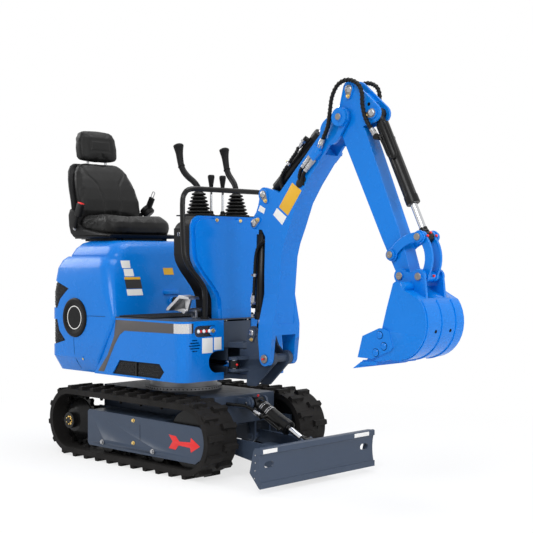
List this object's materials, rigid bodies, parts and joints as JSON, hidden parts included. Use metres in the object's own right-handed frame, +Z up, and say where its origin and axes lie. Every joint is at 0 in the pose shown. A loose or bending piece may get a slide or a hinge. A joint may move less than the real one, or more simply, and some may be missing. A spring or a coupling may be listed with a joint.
{
  "type": "mini excavator",
  "caption": "Compact tracked excavator with an open seat, control console, swing boom, arm, bucket and dozer blade; it slews, digs and grades on rubber tracks.",
  "frame": {"origin": "on the ground under the slew axis, midway between the tracks", "axes": "+X forward to the blade, +Y to the machine's left, +Z up"},
  "size_m": [2.3289, 0.78, 1.773],
  "materials": {
    "paint_blue": "gloss azure blue paint",
    "paint_slate": "satin slate grey paint",
    "paint_black": "satin black paint",
    "rubber_black": "matt black rubber",
    "plastic_black": "grained black plastic",
    "chrome": "polished chrome",
    "leather_black": "stitched black leatherette"
  },
  "bodies": {
    "undercarriage": {"chassis": "paint_slate", "slew_ring": "paint_slate", "track_frames": "paint_slate", "track_right": "rubber_black", "track_left": "rubber_black", "sprockets": "paint_black", "idlers": "paint_slate", "rollers": "paint_slate", "blade_hose": "rubber_black"},
    "blade": {"blade": "paint_slate", "blade_frame": "paint_slate"},
    "blade_barrel": {"blade_barrel": "paint_black"},
    "blade_rod": {"blade_rod": "chrome"},
    "boom": {"boom": "paint_blue", "boom_hose": "rubber_black", "arm_hose": "rubber_black", "hose_right": "rubber_black", "hose_left": "rubber_black"},
    "arm": {"arm": "paint_blue"},
    "arm_barrel": {"arm_barrel": "paint_black"},
    "arm_rod": {"arm_rod": "chrome"},
    "boom_barrel": {"boom_barrel": "paint_black"},
    "boom_rod": {"boom_rod": "chrome"},
    "bucket": {"bucket": "paint_blue"},
    "bucket_barrel": {"bucket_barrel": "paint_black"},
    "bucket_link": {"bucket_link": "paint_blue"},
    "bucket_rod": {"bucket_rod": "chrome"},
    "rocker": {"rocker": "paint_blue"},
    "swing_barrel": {"swing_barrel": "paint_black"},
    "swing_bracket": {"swing_bracket": "paint_slate"},
    "swing_rod": {"swing_rod": "chrome"},
    "house": {"turntable": "paint_slate", "hood": "paint_blue", "skirt_right": "paint_blue", "skirt_left": "paint_blue", "floor_plate": "paint_slate", "floor_mat": "rubber_black", "engine": "paint_black", "grilles": "plastic_black", "tail_discs": "plastic_black", "front_lamps": "chrome", "console_cover": "paint_blue", "console_body": "plastic_black", "lever_boots": "rubber_black", "joysticks": "plastic_black", "short_levers": "chrome", "pedal": "chrome", "handrail": "paint_black", "seat_base": "plastic_black", "seat_cushion": "leather_black", "seat_back": "leather_black", "headrest": "leather_black"}
  },
  "joints": [
    {"name": "slew", "type": "hinge", "parent": "undercarriage", "child": "house", "pos_m": [0, 0, 0.412], "axis": [0, 0, 1], "continuous": true},
    {"name": "swing", "type": "hinge", "parent": "house", "child": "swing_bracket", "pos_m": [0.462, 0, 0.515], "axis": [0, 0, 1], "range_deg": [-50, 50]},
    {"name": "boom", "type": "hinge", "parent": "swing_bracket", "child": "boom", "pos_m": [0.665, 0, 0.541], "axis": [0, -1, 0], "range_deg": [-100, 4]},
    {"name": "arm", "type": "hinge", "parent": "boom", "child": "arm", "pos_m": [1.092, 0, 1.61], "axis": [0, 1, 0], "range_deg": [-100, 15], "deforming": ["hose_right", "hose_left"]},
    {"name": "bucket", "type": "hinge", "parent": "arm", "child": "bucket", "pos_m": [1.423, 0, 0.929], "axis": [0, 1, 0], "range_deg": [-60, 100]},
    {"name": "blade", "type": "hinge", "parent": "undercarriage", "child": "blade", "pos_m": [0.4, 0, 0.14], "axis": [0, -1, 0], "range_deg": [-12, 22]},
    {"name": "swing_barrel_hinge", "type": "hinge", "parent": "house", "child": "swing_barrel", "pos_m": [-0.06, -0.112, 0.507], "axis": [0, 0, 1], "range_deg": [-1.73, 1.73]},
    {"name": "swing_rod_slide", "type": "slide", "parent": "swing_barrel", "child": "swing_rod", "axis": [1, 0, 0], "range_m": [-0.0918, 0.0918]},
    {"name": "boom_barrel_hinge", "type": "hinge", "parent": "boom", "child": "boom_barrel", "pos_m": [0.563, 0, 1.163], "axis": [0, -1, 0], "range_deg": [-1.8, 0.26], "deforming": ["boom_hose"]},
    {"name": "boom_rod_slide", "type": "slide", "parent": "boom_barrel", "child": "boom_rod", "axis": [-0.0333, 0, -0.9994], "range_m": [-0.0114, 0.2609]},
    {"name": "arm_barrel_hinge", "type": "hinge", "parent": "boom", "child": "arm_barrel", "pos_m": [0.623, 0, 1.294], "axis": [0, 1, 0], "range_deg": [-6.83, 1.19], "deforming": ["arm_hose"]},
    {"name": "arm_rod_slide", "type": "slide", "parent": "arm_barrel", "child": "arm_rod", "axis": [0.7565, 0, 0.654], "range_m": [-0.1824, 0.0282]},
    {"name": "bucket_barrel_hinge", "type": "hinge", "parent": "arm", "child": "bucket_barrel", "pos_m": [1.254, 0, 1.615], "axis": [0, 1, 0], "range_deg": [-1.27, 1.99]},
    {"name": "bucket_rod_slide", "type": "slide", "parent": "bucket_barrel", "child": "bucket_rod", "axis": [0.4321, 0, -0.9018], "range_m": [-0.0881, 0.1462]},
    {"name": "rocker_hinge", "type": "hinge", "parent": "arm", "child": "rocker", "pos_m": [1.365, 0, 1.016], "axis": [0, 1, 0], "range_deg": [-33.86, 56.3]},
    {"name": "bucket_link_hinge", "type": "hinge", "parent": "bucket", "child": "bucket_link", "pos_m": [1.518, 0, 0.928], "axis": [0, 1, 0], "range_deg": [-65.7, 39.5]},
    {"name": "blade_barrel_hinge", "type": "hinge", "parent": "undercarriage", "child": "blade_barrel", "pos_m": [0.518, 0, 0.322], "axis": [0, -1, 0], "range_deg": [-14.27, 26], "deforming": ["blade_hose"]},
    {"name": "blade_rod_slide", "type": "slide", "parent": "blade_barrel", "child": "blade_rod", "axis": [0.9031, 0, -0.4295], "range_m": [-0.0806, 0.0444]}
  ],
  "couplings": [
    {"joint": "swing_barrel_hinge", "follows": "swing", "ratio": 0.03067},
    {"joint": "swing_rod_slide", "follows": "swing", "m_per_rad": 0.10408},
    {"joint": "boom_barrel_hinge", "follows": "boom", "ratio": 0.016002},
    {"joint": "boom_rod_slide", "follows": "boom", "m_per_rad": -0.14889},
    {"joint": "arm_barrel_hinge", "follows": "arm", "ratio": 0.066297},
    {"joint": "arm_rod_slide", "follows": "arm", "m_per_rad": 0.10393},
    {"joint": "bucket_barrel_hinge", "follows": "bucket", "ratio": 0.017882},
    {"joint": "bucket_rod_slide", "follows": "bucket", "m_per_rad": 0.083206},
    {"joint": "rocker_hinge", "follows": "bucket", "ratio": 0.56097},
    {"joint": "bucket_link_hinge", "follows": "bucket", "ratio": -0.655},
    {"joint": "blade_barrel_hinge", "follows": "blade", "ratio": 1.1728},
    {"joint": "blade_rod_slide", "follows": "blade", "m_per_rad": -0.20727}
  ]
}
